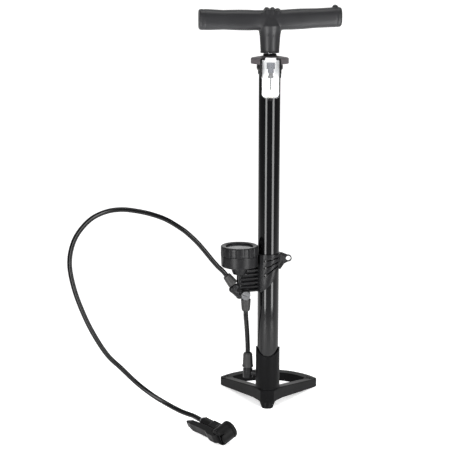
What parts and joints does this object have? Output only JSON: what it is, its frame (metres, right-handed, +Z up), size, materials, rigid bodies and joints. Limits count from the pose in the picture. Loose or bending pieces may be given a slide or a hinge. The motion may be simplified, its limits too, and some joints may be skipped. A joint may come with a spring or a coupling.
{
  "type": "floor bike pump",
  "caption": "Floor bike pump with a steel barrel on a moulded tripod foot, T handle, side gauge, lever valve head on a flexible hose and an accessory capsule.",
  "frame": {"origin": "on the floor, on the barrel's axis", "axes": "+Z up along the barrel, +X along the handle away from the gauge, +Y towards the foot's rear rim; the accessory capsule faces -Y"},
  "size_m": [0.4357, 0.3447, 0.6559],
  "materials": {
    "foot_plastic": "fine-grained moulded, near black",
    "barrel_paint": "gloss black paint",
    "moulded_plastic": "satin moulded, charcoal",
    "handle_plastic": "satin moulded, charcoal",
    "head_plastic": "satin moulded, charcoal",
    "cap_plastic": "satin moulded, warm grey",
    "plug_plastic": "satin moulded, mid grey",
    "rubber": "soft black rubber",
    "hose_rubber": "glossy black, fine cross ribs",
    "steel": "bright steel",
    "brass": "machined brass",
    "natural_plastic": "natural white",
    "dial_card": "printed white",
    "pointer_paint": "red paint",
    "clear_plastic": "clear",
    "adapter_rubber": "blue-grey moulded"
  },
  "bodies": {
    "pump": {"base_foot": "foot_plastic", "barrel_tube": "barrel_paint", "barrel_end_plug": "natural_plastic", "end_plug_seal": "rubber", "outlet_elbow": "moulded_plastic", "check_spring": "steel", "hose_barb_nut": "moulded_plastic", "lower_hose_boot": "rubber", "lower_hose": "hose_rubber", "tee_body": "moulded_plastic", "tee_plug_screw": "plug_plastic", "tee_plug_seal": "rubber", "tee_down_boot": "rubber", "hose_boot": "rubber", "gauge_bracket": "moulded_plastic", "bracket_screw": "steel", "bracket_nut": "steel", "gauge_stem": "brass", "gauge_casing": "moulded_plastic", "gauge_movement": "brass", "bourdon_tube": "brass", "gauge_dial": "dial_card", "gauge_lens": "clear_plastic", "hose": "hose_rubber", "head_body": "head_plastic", "hose_ferrule": "steel", "lever_pin": "steel", "valve_grommet": "rubber", "top_collar": "moulded_plastic", "top_cap": "cap_plastic", "guide_bush": "moulded_plastic", "capsule_holder": "moulded_plastic"},
    "seal_carrier": {"piston_seal": "rubber"},
    "handle_group": {"handle": "handle_plastic", "handle_screw": "steel", "piston_rod": "steel", "rod_bumper": "rubber", "piston": "natural_plastic", "piston_nut": "steel"},
    "pointer": {"gauge_pointer": "pointer_paint"},
    "bezel": {"gauge_bezel": "moulded_plastic"},
    "lever": {"head_lever": "head_plastic"},
    "plunger": {"head_plunger": "natural_plastic"},
    "cap": {"nozzle_cap": "head_plastic"},
    "ball": {"check_ball": "steel"},
    "capsule": {"capsule_case": "clear_plastic", "capsule_stopper": "clear_plastic", "valve_adapter": "adapter_rubber", "ball_needle": "brass", "cone_adapter": "natural_plastic"}
  },
  "joints": [
    {"name": "pump_stroke", "type": "slide", "parent": "pump", "child": "seal_carrier", "axis": [0, 0, 1], "range_m": [0, 0.455]},
    {"name": "handle_turn", "type": "hinge", "parent": "seal_carrier", "child": "handle_group", "pos_m": [0, 0, 0.6], "axis": [0, 0, 1], "continuous": true},
    {"name": "pressure_reading", "type": "hinge", "parent": "pump", "child": "pointer", "pos_m": [-0.0475, -0.016, 0.26], "axis": [0, 0, 1], "range_deg": [-270, 0], "stiffness_Nm_per_rad": 0.0002},
    {"name": "bezel_turn", "type": "hinge", "parent": "pump", "child": "bezel", "pos_m": [-0.0475, -0.016, 0.26], "axis": [0, 0, 1], "continuous": true},
    {"name": "lever_turn", "type": "hinge", "parent": "pump", "child": "lever", "pos_m": [-0.07988, -0.18834, 0.01371], "axis": [-0.3332, -0.2333, 0.9135], "range_deg": [0, 90]},
    {"name": "plunger_push", "type": "slide", "parent": "pump", "child": "plunger", "axis": [0.7483, 0.524, 0.4067], "range_m": [0, 0.002]},
    {"name": "cap_turn", "type": "hinge", "parent": "pump", "child": "cap", "pos_m": [-0.06266, -0.17628, 0.02306], "axis": [0.7483, 0.524, 0.4067], "continuous": true},
    {"name": "check_valve_lift", "type": "slide", "parent": "pump", "child": "ball", "axis": [0, 0, 1], "range_m": [0, 0.001], "stiffness_N_per_m": 50, "springref_m": -0.0005, "deforming": ["check_spring"]},
    {"name": "capsule_slide", "type": "slide", "parent": "pump", "child": "capsule", "axis": [0, -1, 0], "range_m": [0, 0.03]}
  ],
  "couplings": [
    {"joint": "plunger_push", "follows": "lever_turn", "m_per_rad": 0.0012732}
  ]
}
